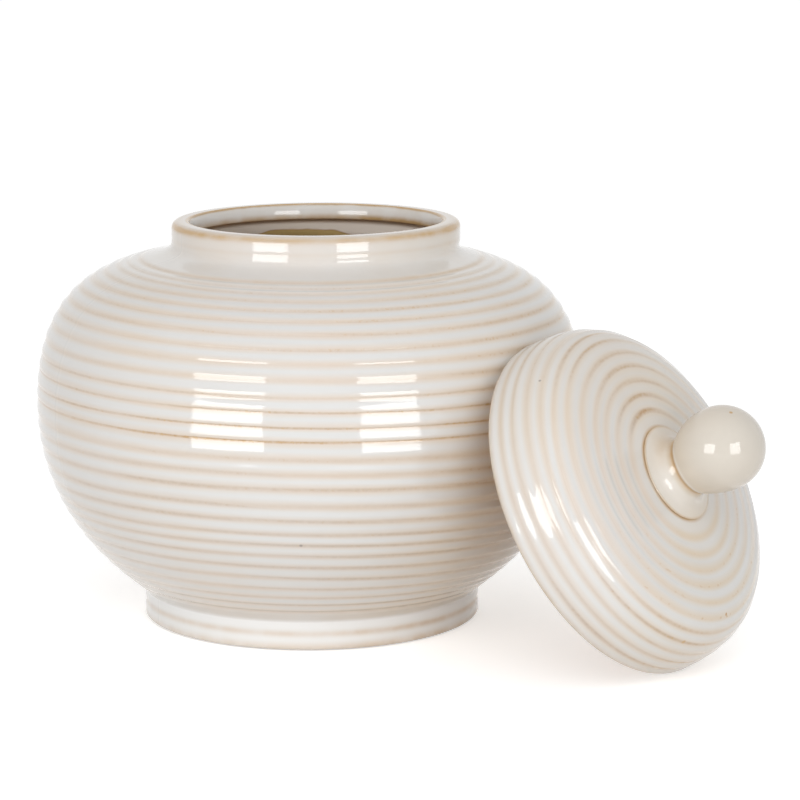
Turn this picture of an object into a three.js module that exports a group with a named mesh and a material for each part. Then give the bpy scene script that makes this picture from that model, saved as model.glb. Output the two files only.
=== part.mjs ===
// A squat jar of ribbed, glazed ceramic with a cap-shaped lid and a ball knob.
// The lid is off: it stands on its rim beside the jar and leans on the belly.
// Millimetres, +Z up. The origin is the centre of the jar's flat base, on the jar's axis.
// The lid leans on the +X side, so the axes of jar and lid both lie in the XZ plane.
import * as THREE from "three";

// Jar, outside, from the table up. The outline runs over the tops of the ribs.
const footRadius = 77.2;
const footHeight = 12.7; // upright wall of the foot
const footEdgeRound = 1.6; // rounding of the foot where it meets the table
const footBlend = 3.5; // reach of the curve that turns the underbelly down into the foot
const underbellyHeight = 86.7; // from the top of the foot to the widest ring
const underbellyFullness = 59.4; // reach of the curve straight down from the widest ring
const bellyRadius = 125.2;
const shoulderHeight = 73.5; // from the widest ring to the foot of the neck
const shoulderFullness = 74.4; // reach of the curve straight up from the widest ring
const neckBlend = 11.5; // reach of the curve that turns the shoulder up into the neck
const neckRadius = 65.6;
const neckHeight = 9.4; // upright wall of the neck

// Jar, inside.
const jarWall = 6.3;
const baseThickness = 9;
const lipThickness = 9.1; // the rim is thicker than the wall below it
const lipHeight = 6.3;
const rimRound = 2;

// Ribs: flat bands parted by narrow grooves, in rings round the jar and the lid.
const jarRibPitch = 6.63;
const lidRibPitch = 6.6;
const grooveDepth = 0.8;
const grooveWidth = 2.6;
const shoulderPlain = 19; // unribbed ring below the neck, along the outline
const underbellyPlain = 9; // unribbed ring above the foot
const skirtPlain = 3.2; // unribbed ring above the lid's lip
const crownPlain = 8.8; // unribbed ring round the knob's collar

// Lid: a cap that slips over the neck and sits on the shoulder.
const lidFitGap = 3.6; // all round, between neck and lid
const lidWall = 8.2;
const lidLipRound = 3;
const lidInnerRound = 2;
const domeHeight = 39.2; // from the lip to the flat that carries the knob
const skirtFullness = 44; // reach of the curve straight up from the lip
const crownReach = 25; // reach of the level curve outwards from the collar

// Knob: a ball on a flared collar, stuck to the lid with slip before firing.
const collarRadius = 21.4;
const collarEdge = 0.8; // thickness of the collar's rim on the lid
const collarFlare = 14.2; // radius that the flare bends in to
const waistRadius = 12.7; // crease between collar and ball
const waistHeight = 8.5; // above the lid
const ballRadius = 18.6;
const ballHeight = 25.4; // centre of the ball above the lid
const slipJoint = 0.3; // joint between lid and knob

// How the lid leans.
const leanTilt = THREE.MathUtils.degToRad(61.1); // lid's axis from the vertical
const leanGap = 0.3; // level gap between the lid's lip and the belly

// Fineness of the solids.
const jarSides = 36;
const lidSides = 36;
const knobSides = 24;
const plainStep = 3.4; // longest step along an unribbed curve
const insideSteps = 16; // steps along the inside of a wall
const roundSteps = 2; // steps in a rounded edge
const ballStep = Math.PI / 10;

// A curve in the plane of radius and height that leaves each end along the handle given for it.
function outlineCurve(start, startHandle, end, endHandle) {
  return new THREE.CubicBezierCurve(start, start.clone().add(startHandle), end.clone().add(endHandle), end);
}

// The point a share of the way along a curve, moved by depth to the left of its direction.
function insetPoint(curve, share, depth) {
  const tangent = curve.getTangentAt(share);
  const inward = new THREE.Vector2(-tangent.y, tangent.x);
  return curve.getPointAt(share).addScaledVector(inward, depth);
}

// Points of a quarter-round edge about a centre, counterclockwise from a number of quarter turns.
function roundEdge(centreRadius, centreHeight, round, quarter) {
  const points = [];
  for (let i = 0; i <= roundSteps; i++) {
    const angle = (quarter + i / roundSteps) * (Math.PI / 2);
    const x = centreRadius + round * Math.cos(angle);
    const y = centreHeight + round * Math.sin(angle);
    points.push(new THREE.Vector2(x, y));
  }
  return points;
}

// Points along an outline that is plain at both ends and ribbed between: a groove, a flat band, a groove.
function ribbedPoints(curve, plainStart, plainEnd, pitchWanted) {
  const length = curve.getLength();
  const points = [];
  const add = (distance, depth) => points.push(insetPoint(curve, distance / length, depth));
  const plain = (from, to) => {
    const steps = Math.ceil((to - from) / plainStep);
    for (let i = 0; i < steps; i++) add(from + ((to - from) * i) / steps, 0);
  };
  const ribs = Math.round((length - plainStart - plainEnd) / pitchWanted);
  const pitch = (length - plainStart - plainEnd) / ribs;
  plain(0, plainStart - grooveWidth / 2);
  for (let i = 0; i <= ribs; i++) {
    const groove = plainStart + i * pitch;
    add(groove - grooveWidth / 2, 0);
    add(groove, grooveDepth);
    if (i < ribs) add(groove + grooveWidth / 2, 0);
  }
  plain(length - plainEnd + grooveWidth / 2, length);
  add(length, 0);
  return points;
}

// A solid of revolution about +Z from points of radius and height, with the solid on their left.
function turned(points, sides) {
  const geometry = new THREE.LatheGeometry(points, sides);
  geometry.rotateX(Math.PI / 2);
  return geometry;
}

// Radius of an outline at a height, by straight lines between its points, or nothing outside its reach.
function radiusAt(points, height) {
  for (let i = 1; i < points.length; i++) {
    const low = points[i - 1];
    const high = points[i];
    if (low.y <= height && height < high.y) {
      return low.x + ((high.x - low.x) * (height - low.y)) / (high.y - low.y);
    }
  }
  return -Infinity;
}

const onAxis = (height) => new THREE.Vector2(0, height);
const upward = (reach) => new THREE.Vector2(0, reach);

// Jar body.
const bellyLevel = footHeight + underbellyHeight;
const neckFootLevel = bellyLevel + shoulderHeight;
const rimLevel = neckFootLevel + neckHeight;
const widest = new THREE.Vector2(bellyRadius, bellyLevel);
const jarCurve = new THREE.CurvePath();
jarCurve.add(
  outlineCurve(
    new THREE.Vector2(footRadius, footHeight),
    upward(footBlend),
    widest,
    upward(-underbellyFullness),
  ),
);
jarCurve.add(
  outlineCurve(
    widest,
    upward(shoulderFullness),
    new THREE.Vector2(neckRadius, neckFootLevel),
    upward(-neckBlend),
  ),
);

const jarOutline = [
  ...roundEdge(footRadius - footEdgeRound, footEdgeRound, footEdgeRound, -1),
  ...ribbedPoints(jarCurve, underbellyPlain, shoulderPlain, jarRibPitch),
  ...roundEdge(neckRadius - rimRound, rimLevel - rimRound, rimRound, 0),
];

const lipRadius = neckRadius - lipThickness;
const lipInside = [
  ...roundEdge(lipRadius + rimRound, rimLevel - rimRound, rimRound, 1),
  new THREE.Vector2(lipRadius, rimLevel - lipHeight),
  new THREE.Vector2(neckRadius - jarWall, rimLevel - lipHeight),
];
const wallInside = [];
for (let i = 1; i <= insideSteps; i++) {
  const point = insetPoint(jarCurve, 1 - i / insideSteps, jarWall);
  if (point.y > baseThickness) wallInside.push(point);
}
const floorCorner = new THREE.Vector2(wallInside.at(-1).x, baseThickness);
const jarPoints = [onAxis(0), ...jarOutline, ...lipInside, ...wallInside, floorCorner, onAxis(baseThickness)];

// Lid cap, in its own frame: lip at height 0, axis along +Z.
const lidInnerRadius = neckRadius + lidFitGap;
const lidRadius = lidInnerRadius + lidWall;
const lidCurve = outlineCurve(
  new THREE.Vector2(lidRadius, lidLipRound),
  upward(skirtFullness),
  new THREE.Vector2(collarRadius, domeHeight),
  new THREE.Vector2(crownReach, 0),
);
const lidLip = [
  ...roundEdge(lidInnerRadius + lidInnerRound, lidInnerRound, lidInnerRound, 2),
  ...roundEdge(lidRadius - lidLipRound, lidLipRound, lidLipRound, -1),
];
const lidInside = [onAxis(domeHeight - lidWall)];
for (let i = 0; i < insideSteps; i++) {
  lidInside.push(insetPoint(lidCurve, 1 - i / insideSteps, lidWall));
}
// The first point of the outside is also the last of the lip.
const lidOutside = ribbedPoints(lidCurve, skirtPlain, crownPlain, lidRibPitch).slice(1);
const lidPoints = [...lidInside, ...lidLip, ...lidOutside, onAxis(domeHeight)];

// Knob, in the lid's frame. The ball's lower half is drawn out to the waist like an egg.
const knobBase = domeHeight + slipJoint;
const waistLevel = domeHeight + waistHeight;
const ballLevel = domeHeight + ballHeight;
const waistAngle = Math.acos(waistRadius / ballRadius);
const eggHeight = (ballLevel - waistLevel) / Math.sin(waistAngle);
const flare = new THREE.QuadraticBezierCurve(
  new THREE.Vector2(collarRadius, knobBase + collarEdge),
  new THREE.Vector2(collarFlare, knobBase + collarEdge),
  new THREE.Vector2(waistRadius, waistLevel),
);
const ballSteps = Math.round((waistAngle + Math.PI / 2) / ballStep);
const ball = [];
for (let i = 1; i < ballSteps; i++) {
  const angle = -waistAngle + ((waistAngle + Math.PI / 2) * i) / ballSteps;
  const rise = angle < 0 ? eggHeight : ballRadius;
  ball.push(new THREE.Vector2(ballRadius * Math.cos(angle), ballLevel + rise * Math.sin(angle)));
}
const knobPoints = [
  onAxis(knobBase),
  new THREE.Vector2(collarRadius, knobBase),
  ...flare.getPoints(2 * roundSteps),
  ...ball,
  onAxis(ballLevel + ballRadius),
];

// The lid's lip stands on the table and its upper edge lies against the belly.
const lipCentreRadius = lidRadius - lidLipRound;
const leanHeight =
  lidLipRound + lipCentreRadius * Math.sin(leanTilt) - lidLipRound * Math.cos(leanTilt);
let leanReach = 0;
for (const point of lidPoints) {
  const sideways = point.y * Math.sin(leanTilt) - point.x * Math.cos(leanTilt);
  const height = leanHeight + point.x * Math.sin(leanTilt) + point.y * Math.cos(leanTilt);
  leanReach = Math.max(leanReach, radiusAt(jarOutline, height) - sideways + leanGap);
}

// Fired clay under a glossy cream glaze that breaks to amber in the grooves.
function glazed(colour) {
  return new THREE.MeshStandardMaterial({ color: colour, roughness: 0.14, metalness: 0 });
}

function piece(name, points, sides, colour) {
  const mesh = new THREE.Mesh(turned(points, sides), glazed(colour));
  mesh.name = name;
  return mesh;
}

const lid = new THREE.Group();
lid.add(piece("lid_cap", lidPoints, lidSides, 0xe6dfd4));
lid.add(piece("lid_knob", knobPoints, knobSides, 0xe0d6ca));
lid.rotation.y = leanTilt;
lid.position.set(leanReach, 0, leanHeight);

const lidded_jar = new THREE.Group();
lidded_jar.add(piece("jar_body", jarPoints, jarSides, 0xe8e2d8));
lidded_jar.add(lid);

export default lidded_jar;
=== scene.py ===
import math

import bpy
import numpy as np
from mathutils import Matrix, Vector


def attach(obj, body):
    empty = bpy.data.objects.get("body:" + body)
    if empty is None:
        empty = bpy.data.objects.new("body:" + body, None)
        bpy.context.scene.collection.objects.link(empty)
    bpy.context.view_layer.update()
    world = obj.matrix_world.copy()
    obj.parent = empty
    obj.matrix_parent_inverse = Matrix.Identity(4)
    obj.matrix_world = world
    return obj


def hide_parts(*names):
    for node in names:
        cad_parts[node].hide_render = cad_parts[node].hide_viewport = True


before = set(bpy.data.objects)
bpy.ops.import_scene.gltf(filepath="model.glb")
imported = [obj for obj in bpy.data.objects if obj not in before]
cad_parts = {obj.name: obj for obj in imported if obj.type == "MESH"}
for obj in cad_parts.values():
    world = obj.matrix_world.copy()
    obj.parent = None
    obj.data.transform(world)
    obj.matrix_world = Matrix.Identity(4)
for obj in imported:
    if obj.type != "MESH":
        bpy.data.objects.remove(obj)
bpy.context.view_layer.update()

# Jar body: a squat jar of pale clay, cast in one piece from its flat foot to its upright neck.
# Its rings were cut by hand while it turned, so no two bands are quite alike in width, and its
# glossy cream glaze breaks to peach and amber wherever it ran thin.
MM = 0.001  # sizes are in millimetres and become metres where a mesh or a node takes them
FRONT = math.radians(-56.26)  # the side of the jar that the photograph shows, in plan
FOOT_RADIUS, FOOT_HEIGHT, FOOT_ROUND = 77.2, 12.7, 1.6
BELLY_RADIUS, BELLY_LEVEL = 125.2, 99.4
NECK_RADIUS, NECK_FOOT, RIM_LEVEL = 65.6, 171.6, 182.3
RIM_ROUND, RIM_OUTER_ROUND = 2.0, 3.2
LIP_RADIUS, LIP_BOTTOM, LIP_EDGE = 56.5, 174.8, 0.8
JAR_WALL, JAR_FLOOR, FLOOR_ROUND = 6.3, 9.0, 3.0
# Heights of the handles that set how full the underbelly and the shoulder are.
FOOT_PULL, UNDERBELLY_PULL, SHOULDER_PULL, NECK_PULL = 16.2, 40.0, 173.6, 160.2
NECK_FLARE = 0.3


def bezier(start, start_handle, end_handle, end, steps=900):
    """Points of a cubic curve from its two ends and its two handles."""
    t = np.linspace(0, 1, steps)[:, None]
    a, b, c, d = (np.array(p, float) for p in (start, start_handle, end_handle, end))
    return (1 - t) ** 3 * a + 3 * (1 - t) ** 2 * t * b + 3 * (1 - t) * t**2 * c + t**3 * d


def arc_lengths(points):
    """How far along a line of points each of them lies."""
    steps = np.linalg.norm(np.diff(points, axis=0), axis=1)
    return np.concatenate([[0], np.cumsum(steps)])


def points_at(outline, along, marks):
    """The points of an outline at some lengths along it."""
    return np.stack([np.interp(marks, along, outline[:, i]) for i in (0, 1)], axis=-1)


foot_top = (FOOT_RADIUS, FOOT_HEIGHT)
widest = (BELLY_RADIUS, BELLY_LEVEL)
neck_foot = (NECK_RADIUS, NECK_FOOT)
neck_handle = (NECK_RADIUS + NECK_FLARE, NECK_PULL)
underbelly = bezier(foot_top, (FOOT_RADIUS, FOOT_PULL), (BELLY_RADIUS, UNDERBELLY_PULL), widest)
shoulder = bezier(widest, (BELLY_RADIUS, SHOULDER_PULL), neck_handle, neck_foot)
belly = np.concatenate([underbelly, shoulder[1:]])
belly_along = arc_lengths(belly)
belly_end = belly_along[-1]

# Widths of the bands from the foot up. For the grooves between them: how much stain each took up,
# how brown that is, and how crisply it was cut.
JAR_FIRST_GROOVE = 9.8
JAR_BANDS = [
    6.4, 6.5, 7.2, 7.7, 7.4, 7.0, 5.9, 5.6, 7.1, 6.9, 7.9, 6.6, 6.5, 7.9,
    5.8, 6.6, 6.3, 7.1, 7.0, 6.6, 6.9, 6.7, 6.3, 6.2, 6.0, 4.6, 5.8,
]
JAR_LINE = [
    0.15, 0.16, 0.18, 0.19, 0.19, 0.19, 0.19, 0.18, 0.17, 0.17, 0.17, 0.24, 0.11, 0.1,
    0.5, 0.36, 0.32, 0.2, 0.1, 0.06, 0.12, 0.17, 0.18, 0.15, 0.1, 0.1, 0.1, 0.14,
]
JAR_BROWN_USUAL = 0.25
JAR_BROWN = {
    11: 0.4, 14: 1.0, 15: 0.7, 16: 0.7, 17: 0.4,
    20: 0.4, 21: 0.5, 22: 0.5, 23: 0.4, 27: 0.6,
}
JAR_CRISP_USUAL = 0.35
JAR_CRISP = {11: 0.5, 14: 1.0, 15: 1.0, 16: 1.0, 17: 0.9, 20: 0.6, 22: 0.5}
JAR_RELIEF, JAR_CUT = 0.38, 0.14
MEAN_BAND, PLAIN_BAND = 6.6, 7.0
# How far the rings run out of level and bow halfway up, and how that changes towards the neck.
RING_TILT, RING_TILT_RISE = -2.1, 1.7
RING_BOW, RING_BOW_RISE, RING_BOW_CURVE = -1.3, 4.8, 2.5
HALFWAY = 100.0  # along the belly's outline
RING_WAVER = 0.2


def band_marks(grooves, length, per_band, plain_step):
    """Places along an outline where rows of the mesh lie: close together at each groove."""
    close = 0.5 - 0.5 * np.cos(np.linspace(0, math.pi, per_band + 1))
    below = np.linspace(0, grooves[0], max(2, int(grooves[0] / plain_step) + 2))[:-1]
    above = np.linspace(grooves[-1], length, int((length - grooves[-1]) / plain_step) + 2)[1:]
    bands = [a + (b - a) * close[:-1] for a, b in zip(grooves[:-1], grooves[1:])]
    return np.concatenate([below, *bands, [grooves[-1]], above])


def ring_count(marks, grooves):
    """The count of rings along an outline: whole at each groove, up to half a ring past the ends."""
    count = np.interp(marks, grooves, np.arange(len(grooves)))
    short = np.maximum(-0.5, (marks - grooves[0]) / PLAIN_BAND)
    past = len(grooves) - 1 + np.minimum(0.5, (marks - grooves[-1]) / PLAIN_BAND)
    count = np.where(marks < grooves[0], short, count)
    return np.where(marks > grooves[-1], past, count)


def hand_wander(angle, ring):
    """How a hand-held tool strays along a ring, between about -1 and 1."""
    return (
        0.5 * np.sin(2 * angle + 1.7 * ring)
        + 0.3 * np.sin(3 * angle - 2.3 * ring + 1.0)
        + 0.2 * np.sin(5 * angle + 4.1 * ring + 2.0)
    )


def jar_stray(angle, mark):
    """How far along the outline the jar's rings stray: they run out of level, bow and waver."""
    side = angle - FRONT
    level = mark / HALFWAY - 1
    tilt = (RING_TILT + RING_TILT_RISE * level) * np.sin(side)
    bow = (RING_BOW + RING_BOW_RISE * level + RING_BOW_CURVE * level**2) * np.sin(side) ** 2
    return tilt + bow + RING_WAVER * hand_wander(angle, mark / MEAN_BAND)


jar_grooves = JAR_FIRST_GROOVE + np.concatenate([[0], np.cumsum(JAR_BANDS)])
belly_marks = band_marks(jar_grooves, belly_end, per_band=12, plain_step=0.7)


def rounded_edge(centre, radius, first_quarter, steps=7):
    """A quarter circle about a centre, counterclockwise from a number of quarter turns."""
    angle = (first_quarter + np.linspace(0, 1, steps)) * math.pi / 2
    return np.array(centre) + radius * np.stack([np.cos(angle), np.sin(angle)], axis=1)


def spread(points, step):
    """The same line of points, set out anew at an even step."""
    along = arc_lengths(points)
    marks = np.linspace(0, along[-1], max(2, int(round(along[-1] / step)) + 1))
    return points_at(points, along, marks)


def upright(radius, low, high, step):
    """A straight wall from one height to another."""
    return spread(np.array([(radius, low), (radius, high)]), step)


def level_face(level, radii):
    """A level face, as the radii of its rows."""
    return np.array([(radius, level) for radius in radii])


def outward(points):
    """The way out of the clay along an outline that keeps the clay on its left."""
    along = np.gradient(points, axis=0)
    along /= np.maximum(np.linalg.norm(along, axis=1), 1e-9)[:, None]
    return np.stack([along[:, 1], -along[:, 0]], axis=1)


def joined(**stretches):
    """One outline made of named stretches, and the rows of it that each stretch takes up."""
    ends = np.cumsum([len(points) for points in stretches.values()])
    rows_of = {
        name: slice(int(end) - len(points), int(end))
        for (name, points), end in zip(stretches.items(), ends)
    }
    return np.concatenate(list(stretches.values())), rows_of


# The outline runs from the underside up the outer face, over the rim and down the inside.
FOOT_STEP, NECK_STEP, INSIDE_STEP = 0.5, 0.4, 2.4
BELOW_BELLY, BELOW_LIP = 0.2, 4.0  # gaps that keep the rows there apart
rim_centre = (NECK_RADIUS - RIM_OUTER_ROUND, RIM_LEVEL - RIM_OUTER_ROUND)
rim_edge = rounded_edge(rim_centre, RIM_OUTER_ROUND, 0)
rim_gaps = (3.2, 2.4, 1.6, 1.1, 0.7, 0.3)
# The lip bulges: its inside is a tall oval that opens upwards.
lip_oval = rounded_edge((0, 0), 1.0, 1, 19) * (RIM_ROUND, RIM_LEVEL - LIP_BOTTOM - LIP_EDGE)
lip_drops = (0.0, 0.5, 1.0, 1.5, 2.0, 2.6)
below_lip = [(NECK_RADIUS - JAR_WALL, LIP_BOTTOM - drop) for drop in lip_drops]
inside_face = spread(belly[::-1] - JAR_WALL * outward(belly)[::-1], INSIDE_STEP)
over_floor = inside_face[:, 1] > JAR_FLOOR + FLOOR_ROUND
inside_face = inside_face[over_floor & (inside_face[:, 1] < LIP_BOTTOM - BELOW_LIP)]
floor_centre = (inside_face[-1, 0] - FLOOR_ROUND, JAR_FLOOR + FLOOR_ROUND)
place, on = joined(
    underside=level_face(0.0, (20, 45, 66, 72)),
    foot_edge=rounded_edge((FOOT_RADIUS - FOOT_ROUND, FOOT_ROUND), FOOT_ROUND, -1),
    foot_wall=upright(FOOT_RADIUS, FOOT_ROUND + FOOT_STEP, FOOT_HEIGHT - BELOW_BELLY, FOOT_STEP),
    belly=points_at(belly, belly_along, belly_marks),
    neck_wall=upright(NECK_RADIUS, NECK_FOOT + NECK_STEP, rim_centre[1] - NECK_STEP, NECK_STEP),
    rim_edge=rim_edge,
    rim_top=level_face(RIM_LEVEL, [LIP_RADIUS + RIM_ROUND + gap for gap in rim_gaps]),
    lip=lip_oval + (LIP_RADIUS + RIM_ROUND, LIP_BOTTOM + LIP_EDGE),
    lip_edge=rounded_edge((LIP_RADIUS + LIP_EDGE, LIP_BOTTOM + LIP_EDGE), LIP_EDGE, 2, 5)[1:],
    inside=np.concatenate([below_lip, inside_face]),
    floor_edge=rounded_edge(floor_centre, FLOOR_ROUND, 0, 6)[::-1],
    floor=level_face(JAR_FLOOR, (60, 45, 30, 15)),
)


def smooth(share):
    """A share from 0 to 1, eased at both ends."""
    share = np.clip(share, 0, 1)
    return share * share * (3 - 2 * share)


def rise(values, start, end):
    """0 up to the start and 1 from the end on, eased between. The end may be the lower one."""
    return smooth((values - start) / (end - start))


def for_grooves(special, usual, grooves):
    """One value for each groove: its own where it has one, or else the usual one."""
    return np.array([special.get(i, usual) for i in range(len(grooves))])


def ribbed_rows(place, ribbed, marks, grooves, crispness):
    """The rows of a ribbed piece: the place of each, the way out of the clay there, how far along
    the ribbed outline it lies, its count of rings and how crisp the groove nearest to it is."""
    rows = {"place": place, "out": outward(place)}
    rows["mark"], rows["ribbed"], rows["loose"] = (np.zeros(len(place)) for _ in range(3))
    rows["mark"][ribbed] = marks
    rows["ring"] = np.full(len(place), -0.5)
    rows["ring"][ribbed] = ring_count(marks, grooves)
    rows["ring"][ribbed.stop :] = rows["ring"][ribbed.stop - 1]
    rows["nearest"] = np.clip(np.round(rows["ring"]).astype(int), 0, len(grooves) - 1)
    rows["crisp"] = crispness[rows["nearest"]]
    return rows


jar_crispness = for_grooves(JAR_CRISP, JAR_CRISP_USUAL, jar_grooves)
rows = ribbed_rows(place, on["belly"], belly_marks, jar_grooves, jar_crispness)
rows["bottom"], rows["top"] = 0.0, JAR_FLOOR
rows["outline"] = (belly, belly_along, jar_stray)
# How far above each groove its crest lies, and the valley below it, as shares of a band.
rows["crest"], rows["valley"] = 0.34 - 0.08 * jar_crispness, 0.26 - 0.14 * jar_crispness
# The ribs fade out at both ends, and the end rings lie level like the foot and the neck.
RIB_FADE, LEVEL_BY_FOOT, LEVEL_BY_NECK = 5, 40, 25
to_neck = belly_end - belly_marks
rows["ribbed"][on["belly"]] = smooth(belly_marks / RIB_FADE) * smooth(to_neck / RIB_FADE)
rows["loose"][on["belly"]] = smooth(belly_marks / LEVEL_BY_FOOT) * smooth(to_neck / LEVEL_BY_NECK)

# The neck sits off the axis, to the right, dips in front and is a little oval.
NECK_OFF, NECK_DIP, NECK_OVAL = 2.7, 0.7, -0.014
height = place[:, 1]
neck_share = rise(height, 163, 174)
rightward = np.array([math.cos(FRONT + math.pi / 2), math.sin(FRONT + math.pi / 2)])
rows["aside"] = neck_share[:, None] * NECK_OFF * rightward
rows["dip"], rows["oval"] = neck_share * NECK_DIP, neck_share * NECK_OVAL

# Two faint seams of the mould run up the outer face.
SEAMS, SEAM_HEIGHT, SEAM_WIDTH = (math.radians(-118.6), math.radians(61.4)), 0.12, 0.8
SEAM_RADIUS = 100.0  # the radius at which a seam has that width
rows["seams"] = SEAMS
rows["outside"] = np.zeros(len(place))
rows["outside"][on["foot_wall"].start : on["neck_wall"].stop] = 1.0


def near(points, spot, width):
    """1 at a spot of the outline, falling to 0 at some distance from it."""
    gap = np.linalg.norm(points - np.array(spot), axis=1)
    return np.exp(-((gap / width) ** 2))


def at_spots(points, spots):
    """The sum over several spots of the outline, each a strength, a place and a width."""
    return sum(strength * near(points, spot, width) for strength, spot, width in spots)


def whole_turn(columns):
    """Even angles once round."""
    return np.linspace(0, 2 * math.pi, columns, endpoint=False)


# The lines on the foot and the neck are shallow grooves of their own.
FOOT_LINE, FOOT_GROOVE, LOW_NECK_LINE, HIGH_NECK_LINE = 7.4, 7.2, 168.9, 174.4
rows["groove"] = at_spots(
    place,
    [
        (0.22, (FOOT_RADIUS, FOOT_GROOVE), 1.9),
        (0.03, (NECK_RADIUS, HIGH_NECK_LINE), 0.8),
        (0.14, (NECK_RADIUS, LOW_NECK_LINE), 0.8),
    ],
)
rows["inside"], rows["bare"], rows["dark"] = (np.zeros(len(place)) for _ in range(3))
rows["inside"][on["inside"].start :] = 1.0
rows["bare"][: on["foot_edge"].start + 2] = 1.0  # the underside, up to where its edge begins
# Under the lip the glaze has pooled to a dark line, darkened further as painted shade of the lip's
# overhang.
POOLED_AND_SHADED = [0.2, 0.5, 0.75, 0.8, 0.8, 0.8, 0.75, 0.65, 0.4, 0.15, 0]
rows["dark"][on["lip_edge"].start - 1 :][: len(POOLED_AND_SHADED)] = POOLED_AND_SHADED
# The glaze is whiter where the wall is plain: at the foot, under the neck and in the lip.
rows["whiter_and_glint"] = rise(height, 15, 12) + 0.3 * rise(height, 159, 164) - 0.3 * rise(height, 169, 172)
rows["whiter_and_glint"][on["lip"].start + 4 : on["lip"].stop] = 1.0
amber = at_spots(
    place,
    [
        (0.42, (FOOT_RADIUS, FOOT_LINE), 1.5),
        (0.45, (FOOT_RADIUS, 1.0), 2.2),
        (0.12, (NECK_RADIUS, HIGH_NECK_LINE), 1.0),
        (0.12, (NECK_RADIUS, LOW_NECK_LINE), 1.2),
        (0.7, (LIP_RADIUS, LIP_BOTTOM + LIP_EDGE), 1.7),
    ],
)
# The top ring, below the neck, is a broad golden stain, and the lip's inside is tinted all over.
TOP_RING_WIDTH = 2.0
from_top_ring = belly_marks - jar_grooves[-1]
amber[on["belly"]] += 0.3 * np.exp(-((from_top_ring / TOP_RING_WIDTH) ** 2))
amber[on["lip"]] += 0.16
rim_amber = at_spots(
    place,
    [
        (0.95, rim_edge[2], 1.5),
        (0.3, rim_edge[-1], 2.5),
        (1.5, (LIP_RADIUS + 1.6, RIM_LEVEL), 0.9),
    ],
)
# The mesh has more columns close beside each seam.
beside_seams = [seam + np.radians([-0.9, -0.45, 0.0, 0.45, 0.9]) for seam in SEAMS]
jar_turns = np.concatenate([whole_turn(columns=168), *beside_seams])
jar_turns = np.sort(jar_turns % (2 * math.pi))
# The glaze is thinner, so warmer, towards foot and neck and on the side where the lid leans. Close
# beside the lid a golden tint is painted shade of the lid.
to_right = np.maximum(0, np.sin(jar_turns - FRONT))[None, :]
to_left = np.maximum(0, -np.sin(jar_turns - FRONT))[None, :]
side = np.degrees((jar_turns - FRONT + math.pi) % (2 * math.pi) - math.pi)[None, :]
# Painted shade: a golden tint on the belly where the lid shadows it.
lid_shade_tint = rise(side, 18, 52) * rise(side, 150, 90)
lid_shade_tint = lid_shade_tint * (rise(height, 155, 95) * rise(height, 10, 60))[:, None]
low_right = to_right * rise(height, 75, 40)[:, None]
warm = 0.14 * rise(height, 75, 35) + 0.25 * rise(height, 25, 17) + 0.34 * rise(height, 152, 164)
wash = warm[:, None] + 0.15 * to_left + 0.1 * to_right + 0.2 * low_right + 0.3 * lid_shade_tint
rows["wash"] = np.minimum(0.9, wash)
rows["gold"] = np.minimum(1.0, 0.15 + 0.2 * to_left + 0.7 * to_right + 0.7 * lid_shade_tint)
line = np.array(JAR_LINE)[rows["nearest"]]
rows["line"] = line[:, None] * (1 + 0.4 * to_right + 1.2 * low_right)
brown = for_grooves(JAR_BROWN, JAR_BROWN_USUAL, jar_grooves)[rows["nearest"]]
rows["brown"] = np.minimum(1.0, brown[:, None] + 0.5 * to_right)
amber = amber[:, None] * (1 + 0.8 * to_right)
rim_amber = rim_amber[:, None] * (0.8 + 0.9 * (to_left + to_right) ** 4)
rows["amber"] = (amber + rim_amber + 0.1 * lid_shade_tint) * (1 - rows["inside"][:, None])
# Inside, the pale mauve lining ends in a wavy edge, with honey-coloured glaze below it.
LINING_EDGE, LINING_WAVE, LINING_STEP = 167.3, 0.5, 2.2
from_back = np.degrees((jar_turns - FRONT) % (2 * math.pi) - math.pi)
lining_step = LINING_STEP * rise(from_back, -20, -6) * rise(from_back, 29, 20)
lining_edge = LINING_EDGE + LINING_WAVE * np.sin(3 * jar_turns) + lining_step
rows["lining"] = np.ones((len(place), 1)) * lining_edge[None, :] * MM


def clapboard(ring, crest, valley):
    """How far a ribbed face lies back, as a share of its relief, at a ring count of any size.
    Each band leans back from the crest above its lower groove to the valley below its upper one."""
    last = len(crest) - 1
    groove = np.floor(ring).astype(int)
    share = ring - groove
    low, high = np.clip(groove, 0, last), np.clip(groove + 1, 0, last)
    from_crest = np.where(groove < 0, 0.5, crest[low])
    to_valley = np.where(groove >= last, 0.5, 1 - valley[high])
    lean = np.clip((share - from_crest) / (to_valley - from_crest + 1e-9), 0, 1)
    lean = np.where(groove >= last, 0, 0.6 * lean + 0.4 * smooth(lean))
    foot = 1 - smooth((share + valley[low]) / (crest[low] + valley[low]))
    head = 1 - smooth((share - 1 + valley[high]) / (crest[high] + valley[high]))
    lean = np.where((share < from_crest) & (groove >= 0), foot, lean)
    return np.where((share > to_valley) & (groove < last), head, lean)


CUT_WIDTH, DEPTH_WANDER = 0.04, 0.2  # shares of a band's width and of a rib's depth
# What the glaze reads at each point of a mesh: the ring count, the height of the lining's edge,
# and for the rest a share.
GLAZE_VALUES = (
    "ring", "line", "brown", "crisp", "wash", "gold",
    "whiter_and_glint", "amber", "inside", "lining", "bare", "dark",
)


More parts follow.
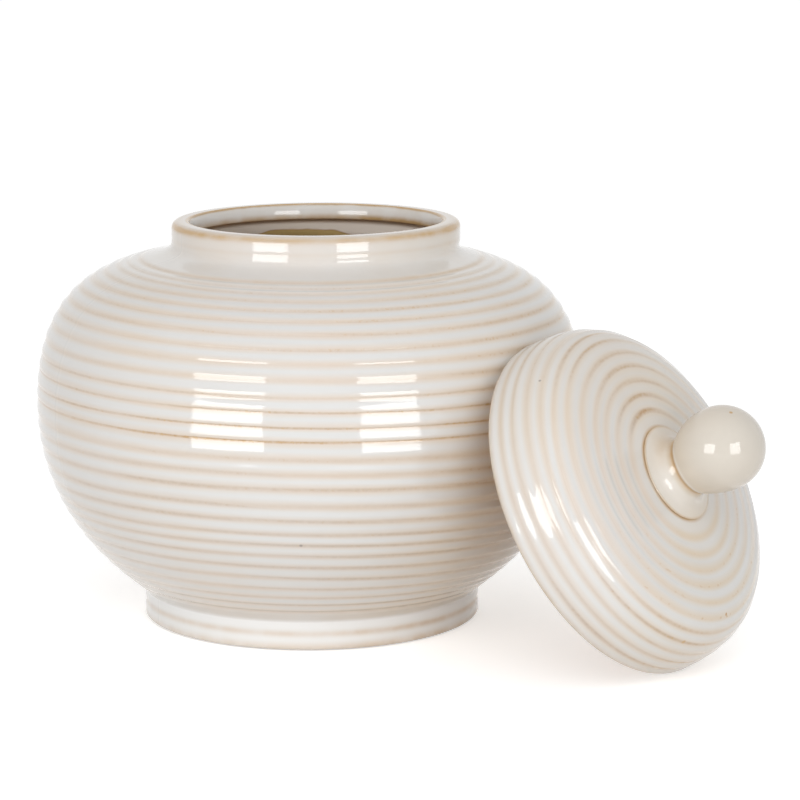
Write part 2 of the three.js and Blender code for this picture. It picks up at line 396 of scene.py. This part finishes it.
def turned_mesh(name, rows, turns, relief=0.0, cut=0.0):
    """A mesh turned about the height axis. Each row holds a place, the way out of the clay there,
    a ring count (whole numbers are grooves) and the values that the glaze reads."""
    count, columns = len(rows["place"]), len(turns)
    angle = turns[None, :]
    over = lambda values: np.reshape(values, (count, -1)) + 0 * angle
    radius, height = over(rows["place"][:, 0]), over(rows["place"][:, 1])
    depth = over(rows.get("groove", np.zeros(count)))
    if relief:
        # Ribbed rows slide along the outline with their ring, which the hand cut out of level.
        outline, lengths, stray = rows["outline"]
        loose = rows["loose"] > 0
        mark, ring = rows["mark"][:, None], rows["ring"]
        slid = mark + rows["loose"][:, None] * stray(angle, mark)
        radius[loose] = np.interp(slid[loose], lengths, outline[:, 0])
        height[loose] = np.interp(slid[loose], lengths, outline[:, 1])
        line = np.exp(-(((ring - np.round(ring)) / CUT_WIDTH) ** 2)) * rows["crisp"]
        ribs = relief * clapboard(ring, rows["crest"], rows["valley"]) + cut * line
        uneven = 1 + DEPTH_WANDER * hand_wander(angle + 2.0, ring[:, None])
        depth = depth + over(ribs * rows["ribbed"]) * uneven
    for seam in rows.get("seams", ()):
        from_seam = (angle - seam + math.pi) % (2 * math.pi) - math.pi
        bead = SEAM_HEIGHT * np.exp(-((from_seam * SEAM_RADIUS / SEAM_WIDTH) ** 2))
        depth = depth - over(rows["outside"]) * bead
    radius = radius - depth * rows["out"][:, :1]
    height = height - depth * rows["out"][:, 1:]
    grid = np.stack([radius * np.cos(angle), radius * np.sin(angle), height], axis=2)
    top_aside = (0, 0)
    if "aside" in rows:
        top_aside = rows["aside"][-1]
        grid[:, :, :2] += rows["aside"][:, None, :]
    if "oval" in rows:
        grid[:, :, :2] *= 1 + rows["oval"][:, None, None] * np.sin(2 * (angle - FRONT))[:, :, None]
        grid[:, :, 2] -= rows["dip"][:, None] * (1 + np.cos(angle - FRONT)) / 2
    points = [(0, 0, rows["bottom"]), *grid.reshape(-1, 3).tolist(), (*top_aside, rows["top"])]
    index = lambda row, column: 1 + row * columns + column % columns
    faces = [(0, index(0, c + 1), index(0, c)) for c in range(columns)]
    for row in range(count - 1):
        for c in range(columns):
            low, high = (index(row, c), index(row, c + 1)), (index(row + 1, c + 1), index(row + 1, c))
            faces.append(low + high)
    last = len(points) - 1
    faces += [(last, index(count - 1, c), index(count - 1, c + 1)) for c in range(columns)]
    mesh = bpy.data.meshes.new(name)
    mesh.from_pydata((np.array(points) * MM).tolist(), [], faces)
    mesh.polygons.foreach_set("use_smooth", [True] * len(faces))
    for label in GLAZE_VALUES:
        values = over(rows.get(label, np.zeros(count)))
        at_points = np.concatenate([values[0, :1], values.reshape(-1), values[-1, :1]])
        stored = mesh.attributes.new(label, "FLOAT", "POINT")
        stored.data.foreach_set("value", at_points.astype(np.float32))
    piece = bpy.data.objects.new(name, mesh)
    bpy.context.scene.collection.objects.link(piece)
    return piece


jar = turned_mesh("jar_visual", rows, jar_turns, JAR_RELIEF, JAR_CUT)


class Glaze:
    """Builds the node tree of one glaze."""

    def __init__(self, name):
        self.material = bpy.data.materials.new(name)
        self.material.use_nodes = True
        self.tree = self.material.node_tree
        self.shader = self.tree.nodes["Principled BSDF"]

    def add(self, kind, inputs, **settings):
        """A node of some kind, with its settings made and its inputs plugged in."""
        made = self.tree.nodes.new(kind)
        for key, value in settings.items():
            setattr(made, key, value)
        for key, value in inputs.items():
            self.plug(made.inputs[key], value)
        return made

    def plug(self, socket, value):
        """Links another node's output to a socket, or sets the socket to a value."""
        if isinstance(value, bpy.types.NodeSocket):
            self.tree.links.new(value, socket)
        else:
            socket.default_value = value

    def calc(self, operation, first, second=0.0):
        return self.add("ShaderNodeMath", {0: first, 1: second}, operation=operation).outputs[0]

    def times(self, first, *others):
        for other in others:
            first = self.calc("MULTIPLY", first, other)
        return first

    def rest_of(self, share):
        """What a share leaves of 1."""
        return self.calc("SUBTRACT", 1.0, share)

    def vector_calc(self, operation, inputs):
        return self.add("ShaderNodeVectorMath", inputs, operation=operation)

    def ramp(self, value, low, high, to_low=0.0, to_high=1.0):
        """An eased change from one value to another while the value goes from low to high."""
        inputs = {"Value": value, "From Min": low, "From Max": high, "To Min": to_low, "To Max": to_high}
        return self.add("ShaderNodeMapRange", inputs, interpolation_type="SMOOTHSTEP").outputs["Result"]

    def mix(self, share, first, second):
        made = self.tree.nodes.new("ShaderNodeMix")
        made.data_type = "RGBA"
        self.plug(made.inputs["Factor"], share)
        self.plug(made.inputs[6], first)
        self.plug(made.inputs[7], second)
        return made.outputs[2]

    def noise(self, coordinates, scale, detail=2.0):
        inputs = {"Vector": coordinates, "Scale": scale, "Detail": detail}
        return self.add("ShaderNodeTexNoise", inputs).outputs["Fac"]

    def attribute(self, name):
        return self.add("ShaderNodeAttribute", {}, attribute_name=name).outputs["Fac"]


CREAM = (0.757, 0.752, 0.740, 1)
MILK = (0.925, 0.922, 0.91, 1)
PEACH = (0.75, 0.65, 0.565, 1)
GOLD = (0.73, 0.60, 0.44, 1)
TAUPE = (0.42, 0.36, 0.32, 1)
BROWN = (0.50, 0.285, 0.105, 1)
AMBER = (0.60, 0.40, 0.20, 1)
BISCUIT = (0.66, 0.55, 0.42, 1)
MAUVE = (0.96, 0.87, 0.78, 1)
HONEY = (0.68, 0.50, 0.22, 1)
UMBER = (0.33, 0.16, 0.05, 1)
BISCUIT_ROUGHNESS = 0.75
GLAZE_IOR = 1.52


def ribbed_glaze(name, cream, inner, peach_above=0.52, peach_below=0.44, peach_full=1.0, spots=()):
    """Glossy cream glaze that thins to peach on both sides of each groove and holds a line in it.
    Spots are pinholes and specks: a place in metres, a radius in millimetres and a colour."""
    g = Glaze(name)
    place = g.add("ShaderNodeTexCoord", {}).outputs["Object"]
    ring = g.attribute("ring")
    drift = g.noise(place, 28.0, 3.0)
    # Each ring has stretches of its own where the glaze is thinner or the stain darker.
    apart = g.add("ShaderNodeCombineXYZ", {"X": g.times(ring, 1.9), "Y": g.times(ring, 0.7)})
    scaled = g.vector_calc("SCALE", {0: place, "Scale": 17.0})
    round_ring = g.vector_calc("ADD", {0: scaled.outputs[0], 1: apart.outputs[0]}).outputs[0]
    stretch = g.noise(round_ring, 1.0)
    breadth = g.ramp(g.noise(round_ring, 0.6, 1.0), 0.3, 0.7, 0.82, 1.2)

    # Between two grooves the share runs from 0 to 1. The count may be negative, so it is raised.
    share = g.calc("FRACT", g.calc("ADD", ring, 100.0))
    rest = g.rest_of(share)
    beside = g.calc("MINIMUM", share, rest)
    above = g.ramp(g.calc("DIVIDE", share, breadth), peach_above, 0.0)
    below = g.ramp(g.calc("DIVIDE", rest, breadth), peach_below, 0.0)
    fullness = g.ramp(drift, 0.25, 0.75, 0.8 * peach_full, peach_full)
    peach = g.times(g.calc("MAXIMUM", above, below), fullness)
    wash = g.times(g.attribute("wash"), g.ramp(drift, 0.3, 0.7, 0.7, 1.3))
    peach = g.calc("ADD", wash, g.times(peach, g.rest_of(wash)))
    # Whiter glaze mixes towards milk; on the knob this also paints a highlight above the crease.
    whiter_and_glint = g.attribute("whiter_and_glint")
    peach = g.times(peach, g.rest_of(whiter_and_glint))
    golden = g.times(g.attribute("gold"), g.ramp(g.noise(place, 11.0), 0.35, 0.65, 0.6, 1.4))
    colour = g.mix(peach, g.mix(whiter_and_glint, cream, MILK), g.mix(golden, PEACH, GOLD))

    # The stained line in each groove, finer where the groove is crisp, with specks along it.
    width = g.ramp(g.attribute("crisp"), 0.35, 1.0, 0.26, 0.13)
    line = g.times(
        g.ramp(g.calc("DIVIDE", beside, width), 1.0, 0.0),
        g.attribute("line"),
        g.ramp(stretch, 0.36, 0.64, 0.45, 1.5),
        g.ramp(g.noise(place, 420.0), 0.3, 0.7, 0.75, 1.2),
    )
    brown = g.attribute("brown")
    colour = g.mix(line, colour, g.mix(brown, TAUPE, BROWN))
    speck = g.times(
        g.ramp(g.noise(place, 520.0, 1.0), 0.58, 0.68),
        g.ramp(beside, 0.13, 0.03),
        brown,
        g.ramp(stretch, 0.4, 0.6, 0.1, 0.7),
    )
    colour = g.mix(speck, colour, AMBER)
    amber = g.times(g.attribute("amber"), g.ramp(g.noise(place, 90.0, 3.0), 0.3, 0.7, 0.6, 1.0))
    colour = g.mix(amber, colour, AMBER)

    # Inside, a lining ends in an edge with a brown line along it, and the inner glaze lies below.
    height = g.add("ShaderNodeSeparateXYZ", {"Vector": place}).outputs["Z"]
    over_edge = g.calc("SUBTRACT", height, g.attribute("lining"))
    waver = g.ramp(g.noise(place, 120.0, 1.0), 0.3, 0.7, -0.2 * MM, 0.2 * MM)
    over_edge = g.calc("ADD", over_edge, waver)
    inside = g.mix(g.ramp(over_edge, -0.2 * MM, 0.2 * MM), inner, MAUVE)
    edge_line = g.ramp(g.calc("ABSOLUTE", over_edge), 0.7 * MM, 0.0, 0.0, 0.6)
    inside = g.mix(edge_line, inside, BROWN)
    colour = g.mix(g.attribute("inside"), colour, inside)
    # A dark line of pooled glaze; under the jar's lip it is painted shade as well.
    colour = g.mix(g.attribute("dark"), colour, UMBER)
    bare = g.attribute("bare")
    colour = g.mix(bare, colour, BISCUIT)
    for spot, radius, tint in spots:
        gap = g.vector_calc("DISTANCE", {0: place, 1: spot}).outputs["Value"]
        colour = g.mix(g.ramp(gap, radius * MM, 0.4 * radius * MM), colour, tint)
    g.plug(g.shader.inputs["Base Color"], colour)

    gloss = g.ramp(g.noise(place, 60.0), 0.3, 0.7, 0.045, 0.075)
    rough = g.calc("MAXIMUM", gloss, g.times(bare, BISCUIT_ROUGHNESS))
    g.plug(g.shader.inputs["Roughness"], rough)
    ripple = {"Height": g.noise(place, 75.0, 1.0), "Strength": 0.3, "Distance": 0.5 * MM}
    g.plug(g.shader.inputs["Normal"], g.add("ShaderNodeBump", ripple).outputs["Normal"])
    g.shader.inputs["IOR"].default_value = GLAZE_IOR
    return g.material


def spot_on(outline, along, mark, turn):
    """The place of a spot from its distance along an outline and its turn about the axis."""
    radius, height = points_at(outline, along, mark)
    return Vector((radius * math.cos(turn), radius * math.sin(turn), height)) * MM


jar_pinhole = spot_on(belly, belly_along, mark=58.1, turn=math.radians(-56.9))
jar_glaze = ribbed_glaze("cream_glaze_on_jar", CREAM, HONEY, spots=[(jar_pinhole, 1.1, TAUPE)])
jar.data.materials.append(jar_glaze)
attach(jar, "jar")
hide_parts("jar_body")

# Lid cap: a hollow dome of the same clay and cream glaze, ringed from its lip to the knob's foot,
# with a honey-coloured glaze inside. It is loose: here it stands on the edge of its lip and
# leans on the belly.
LID_RADIUS, LID_INNER, LID_LIP_ROUND, LID_INNER_ROUND = 77.4, 69.2, 3.0, 2.0
DOME_HEIGHT, COLLAR_RADIUS, LID_WALL = 39.2, 21.4, 8.2
SKIRT_PULL, CROWN_HANDLE = 42.7, (54.66, 36.66)
LID_RELIEF, LID_CUT = 0.34, 0.1
LID_FIRST_GROOVE = 4.9
LID_BANDS = [6.1, 6.6, 6.2, 5.5, 6.1, 7.2, 6.9, 6.8, 7.2, 7.6]
LID_LINE = [0.45, 0.5, 0.4, 0.44, 0.32, 0.12, 0.1, 0.1, 0.1, 0.1, 0.1]
LID_CRISP_USUAL = 0.2
LID_CRISP = {0: 0.4, 1: 0.6, 2: 0.5, 3: 0.6, 4: 0.4}
LID_WAVER = 0.3
LID_HONEY = (0.60, 0.34, 0.12, 1)
LEAN = math.radians(61.1)
LID_CENTRE = Vector((155.973, 0, 66.685)) * MM
lid_place = Matrix.Translation(LID_CENTRE) @ Matrix.Rotation(LEAN, 4, "Y")

lid_foot, collar_foot = (LID_RADIUS, LID_LIP_ROUND), (COLLAR_RADIUS, DOME_HEIGHT)
dome = bezier(lid_foot, (LID_RADIUS, SKIRT_PULL), CROWN_HANDLE, collar_foot)
dome_along = arc_lengths(dome)
dome_end = dome_along[-1]
lid_grooves = LID_FIRST_GROOVE + np.concatenate([[0], np.cumsum(LID_BANDS)])
dome_marks = band_marks(lid_grooves, dome_end, per_band=14, plain_step=1.6)

# The outline runs from the crown's underside down the inside, round the lip and up the outer face.
inner_lip_centre = (LID_INNER + LID_INNER_ROUND, LID_INNER_ROUND)
outer_lip_centre = (LID_RADIUS - LID_LIP_ROUND, LID_LIP_ROUND)
lip_inner = rounded_edge(inner_lip_centre, LID_INNER_ROUND, 2)
lip_outer = rounded_edge(outer_lip_centre, LID_LIP_ROUND, -1)[:-1]
place, on = joined(
    crown_inside=level_face(DOME_HEIGHT - LID_WALL, (8, 16)),
    dome_inside=spread((dome - LID_WALL * outward(dome))[::-1], INSIDE_STEP)[:-2],
    lip_inner=lip_inner,
    lip_outer=lip_outer,
    dome=points_at(dome, dome_along, dome_marks),
    crown=level_face(DOME_HEIGHT, (17, 9)),
)


def lid_stray(angle, mark):
    """How far along the outline the lid's rings stray: they only waver."""
    return LID_WAVER * hand_wander(angle, mark / MEAN_BAND)


lid_crispness = for_grooves(LID_CRISP, LID_CRISP_USUAL, lid_grooves)
rows = ribbed_rows(place, on["dome"], dome_marks, lid_grooves, lid_crispness)
rows["bottom"], rows["top"] = DOME_HEIGHT - LID_WALL, DOME_HEIGHT
rows["outline"] = (dome, dome_along, lid_stray)
rows["crest"], rows["valley"] = 0.42 - 0.2 * lid_crispness, 0.36 - 0.2 * lid_crispness
to_knob = dome_end - dome_marks
# The ribs begin right at the lip, and the rings lie level only next to lip and knob.
RIBS_AT_LIP, LIP_FADE, LEVEL_BY_LIP, LEVEL_BY_KNOB = 0.3, 3, 4, 6
from_lip = smooth(RIBS_AT_LIP + dome_marks / LIP_FADE)
rows["ribbed"][on["dome"]] = from_lip * smooth(to_knob / RIB_FADE)
rows["loose"][on["dome"]] = smooth(dome_marks / LEVEL_BY_LIP) * smooth(to_knob / LEVEL_BY_KNOB)
# The stain lies where the lid's lower and upper sides were while it dried.
lid_turns = whole_turn(columns=180)
lower = np.maximum(0, np.cos(lid_turns))[None, :]
upper = np.maximum(0, -np.cos(lid_turns))[None, :]
low_stain, top_stain = lower**1.2, upper**6
low_tint, top_tint = lower**3, upper**1.2
ring = rows["ring"][:, None]
line = np.array(LID_LINE)[rows["nearest"]][:, None]
line = line * (0.1 + 0.9 * low_stain * (ring < 4.6))
rows["line"] = line + top_stain * (0.42 * (ring > 3.5) + 0.3 * (ring > 8.5))
rows["brown"] = 0.9 * np.maximum(low_stain, top_stain) * np.ones_like(ring)
low_wash, crown_wash = 0.3 * low_tint * rise(ring, 6, 2), 0.08 * rise(ring, 6, 9)
rows["wash"] = 0.08 + low_wash + 0.22 * top_tint + crown_wash
rows["gold"] = 0.1 + 0.8 * low_tint + 0.75 * top_tint + 0.15 * rise(ring, 7, 10)
rows["inside"] = np.zeros(len(place))
rows["inside"][: on["lip_inner"].start + 2] = 1.0
rows["lining"] = np.ones(len(place))  # a metre up: there is no lining in the lid
rows["amber"] = at_spots(
    place,
    [
        (0.5, lip_outer[3], 1.2),
        (0.35, lip_outer[5], 1.2),
        (0.4, lip_inner[3], 1.2),
        (0.9, collar_foot, 0.8),
    ],
)
lid = turned_mesh("lid_visual", rows, lid_turns, LID_RELIEF, LID_CUT)
lid.data.transform(lid_place)
# Each spot: how far up the dome it lies, its turn, its radius and its colour.
LID_SPOTS = (
    (22.5, -141.0, 0.9, TAUPE),
    (36.5, -1.4, 1.0, BROWN),
    (23.7, -23.1, 1.3, AMBER),
)
lid_spots = [
    (lid_place @ spot_on(dome, dome_along, mark, math.radians(turn)), radius, tint)
    for mark, turn, radius, tint in LID_SPOTS
]
lid_glaze = ribbed_glaze(
    "cream_glaze_on_lid",
    CREAM,
    LID_HONEY,
    peach_above=0.58,
    peach_below=0.46,
    peach_full=0.92,
    spots=lid_spots,
)
lid.data.materials.append(lid_glaze)
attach(lid, "lid")
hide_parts("lid_cap")

# Knob: a ball of the same clay, drawn down like an egg to a flared collar, under an ivory glaze.
# It was made apart and stuck on with slip, and glaze has run amber into the crease under the ball
# and round the collar's foot.
IVORY = (0.685, 0.635, 0.56, 1)
WAIST_RADIUS, WAIST_LEVEL = 12.7, 47.7
BALL_RADIUS, BALL_LEVEL = 18.25, 65.15
BALL_ASIDE = -1.0  # the ball leans a little towards the lid's upper side
# Heights above the dome: the slip under the collar, the collar's edge and the foot of its flare.
SLIP, COLLAR_EDGE, FLARE_FOOT = 0.1, 0.6, 0.8
COLLAR_ROUND, FLARE_STEP, BALL_ROWS = 0.5, 0.45, 72
FLARE_LOW_HANDLE, FLARE_HIGH_HANDLE = (15.5, DOME_HEIGHT + 1.4), (13.3, 43.0)
KNOB_PINHOLE = Vector((-12.5, -4.7, 78.5)) * MM  # high on the ball, in the lid's own frame

collar_centre = (COLLAR_RADIUS - COLLAR_ROUND, DOME_HEIGHT + COLLAR_EDGE)
collar_rim = (COLLAR_RADIUS, DOME_HEIGHT + COLLAR_EDGE)
flare_foot = (COLLAR_RADIUS, DOME_HEIGHT + FLARE_FOOT)
waist = (WAIST_RADIUS, WAIST_LEVEL)
flare = bezier(flare_foot, FLARE_LOW_HANDLE, FLARE_HIGH_HANDLE, waist, steps=200)
waist_angle = math.acos(WAIST_RADIUS / BALL_RADIUS)
egg_height = (BALL_LEVEL - WAIST_LEVEL) / math.sin(waist_angle)
rising = np.linspace(-waist_angle, math.pi / 2, BALL_ROWS)[1:-1]
ball_height = np.where(rising < 0, egg_height, BALL_RADIUS) * np.sin(rising)
ball = np.stack([BALL_RADIUS * np.cos(rising), BALL_LEVEL + ball_height], axis=1)
place, _ = joined(
    foot=level_face(DOME_HEIGHT + SLIP, (8, 16)),
    collar_edge=rounded_edge(collar_centre, COLLAR_ROUND, -1, 6),
    flare=spread(flare, FLARE_STEP),
    ball=ball,
)
height = place[:, 1]
rows = {"place": place, "out": outward(place)}
rows["bottom"], rows["top"] = DOME_HEIGHT + SLIP, BALL_LEVEL + BALL_RADIUS
rows["ring"] = np.full(len(place), 0.5)
lean_share = rise(height, WAIST_LEVEL - 3, WAIST_LEVEL + 9)
rows["aside"] = lean_share[:, None] * np.array([[BALL_ASIDE, 0.0]])
# The collar is whiter than the ball. A dark line lies in the crease, and the pale edge above it on the
# ball is a painted highlight.
# Amber runs a little below the crease, and on the lid's upper side it spreads further as painted shade
# of the ball.
knob_turns = whole_turn(columns=120)
upper = np.maximum(0, -np.cos(knob_turns))[None, :]
collar_white = 0.45 * rise(height, WAIST_LEVEL - 1.5, WAIST_LEVEL - 3.5)
rows["whiter_and_glint"] = collar_white + 0.5 * near(place, ball[2], 0.9)
rows["dark"] = 0.4 * near(place, waist, 0.6)
crease = at_spots(place, [(0.95, waist, 1.3), (0.8, collar_rim, 0.7)])
amber_run_and_shade = near(place, (WAIST_RADIUS + 1.2, WAIST_LEVEL - 4), 4.5)
rows["amber"] = crease[:, None] + amber_run_and_shade[:, None] * (0.05 + 0.5 * upper)
under_ball = rise(height, BALL_LEVEL - 2, BALL_LEVEL - 14)[:, None]
sides_wash = 0.35 * np.cos(knob_turns)[None, :] ** 2 * (place[:, :1] / BALL_RADIUS) ** 2
rows["wash"] = 0.05 + sides_wash + 0.25 * under_ball
rows["gold"] = 0.7 + 0.3 * under_ball
knob = turned_mesh("knob_visual", rows, knob_turns)
knob.data.transform(lid_place)
knob_spots = [(lid_place @ KNOB_PINHOLE, 1.1, AMBER)]
knob.data.materials.append(ribbed_glaze("cream_glaze_on_knob", IVORY, IVORY, spots=knob_spots))
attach(knob, "lid")
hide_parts("lid_knob")

# Studio: a plain white floor in an even white room, with the camera where the photograph was
# taken from. A broad lamp on each side of it shows in the glaze, and softer ones light the jar.
bpy.context.scene.view_settings.view_transform = "Standard"
CAMERA_AT = Vector((802.3, -1127.7, 348.2)) * MM
CAMERA_DROP, CAMERA_TURN = 10.243, 33.74
camera_data = bpy.data.cameras.new("camera")
camera_data.sensor_width = 36.0
camera_data.lens = 137.66
camera = bpy.data.objects.new("camera", camera_data)
camera.location = CAMERA_AT
camera.rotation_euler = (math.radians(90 - CAMERA_DROP), 0, math.radians(CAMERA_TURN))
bpy.context.scene.collection.objects.link(camera)
bpy.context.scene.camera = camera


def seen_directly(tree):
    """1 for rays from the camera, mirror rays and rays through glass, 0 for the rest."""
    path = tree.nodes.new("ShaderNodeLightPath")
    total = path.outputs["Is Camera Ray"]
    for name in ("Is Glossy Ray", "Is Transmission Ray"):
        both = tree.nodes.new("ShaderNodeMath")
        both.operation = "MAXIMUM"
        tree.links.new(total, both.inputs[0])
        tree.links.new(path.outputs[name], both.inputs[1])
        total = both.outputs[0]
    return total


ROOM_LIGHT = 0.56
world = bpy.data.worlds.new("room")
bpy.context.scene.world = world
world.use_nodes = True
tree = world.node_tree
background = tree.nodes["Background"]
background.inputs["Color"].default_value = (1, 1, 1, 1)
level = tree.nodes.new("ShaderNodeMapRange")
level.inputs["To Min"].default_value = ROOM_LIGHT
level.inputs["To Max"].default_value = 1.0
tree.links.new(seen_directly(tree), level.inputs["Value"])
tree.links.new(level.outputs["Result"], background.inputs["Strength"])

FLOOR_REACH, FLOOR_LEVEL, FLOOR_LIFT = 6, -0.4 * MM, 0.5
floor_corners = [
    (x * FLOOR_REACH, y * FLOOR_REACH, FLOOR_LEVEL)
    for x, y in ((-1, -1), (1, -1), (1, 1), (-1, 1))
]
floor_mesh = bpy.data.meshes.new("floor")
floor_mesh.from_pydata(floor_corners, [], [(0, 1, 2, 3)])
floor = bpy.data.objects.new("floor", floor_mesh)
bpy.context.scene.collection.objects.link(floor)
floor_paint = bpy.data.materials.new("floor_paint")
floor_paint.use_nodes = True
tree = floor_paint.node_tree
paint = tree.nodes["Principled BSDF"]
paint.inputs["Base Color"].default_value = (0.92, 0.92, 0.92, 1)
paint.inputs["Roughness"].default_value = 0.9
paint.inputs["Specular IOR Level"].default_value = 0.0
paint.inputs["Emission Color"].default_value = (1, 1, 1, 1)
lift = tree.nodes.new("ShaderNodeMath")
lift.operation = "MULTIPLY"
lift.inputs[1].default_value = FLOOR_LIFT
tree.links.new(seen_directly(tree), lift.inputs[0])
tree.links.new(lift.outputs[0], paint.inputs["Emission Strength"])
floor.data.materials.append(floor_paint)

CAMERA_SIDE = math.radians(-54.57)


def lamp(name, side, reach, height, wide, tall, brightness, aim):
    """A soft lamp, in metres: its turn in degrees from the camera's side, its reach and height,
    its size, and the height on the jar's axis that it is aimed at."""
    data = bpy.data.lights.new(name, "AREA")
    data.shape = "RECTANGLE"
    data.size, data.size_y = wide, tall
    data.energy = brightness * math.pi * wide * tall
    made = bpy.data.objects.new(name, data)
    plan = CAMERA_SIDE + math.radians(side)
    made.location = (reach * math.cos(plan), reach * math.sin(plan), height)
    made.rotation_euler = (Vector((0, 0, aim)) - made.location).to_track_quat("-Z", "Y").to_euler()
    made.visible_camera = False
    bpy.context.scene.collection.objects.link(made)
    return made


for name, side, wide in (("lamp_left", -32.9, 0.62), ("lamp_right", 31.1, 0.51)):
    shown = lamp(name, side, reach=1.2, height=0.25, wide=wide, tall=0.5, brightness=6.0, aim=0.13)
    shown.visible_diffuse = False
# Each fill: its side, reach, height, width, height of its face and brightness.
FILLS = {
    "fill_left": (-42.0, 1.0, 0.28, 0.9, 0.54, 1.0),
    "fill_right": (18.0, 1.0, 0.2, 0.45, 0.38, 3.1),
    "fill_high": (0.0, 0.9, 0.8, 0.9, 0.6, 1.35),
}
for name, setting in FILLS.items():
    lamp(name, *setting, aim=0.1).visible_glossy = False
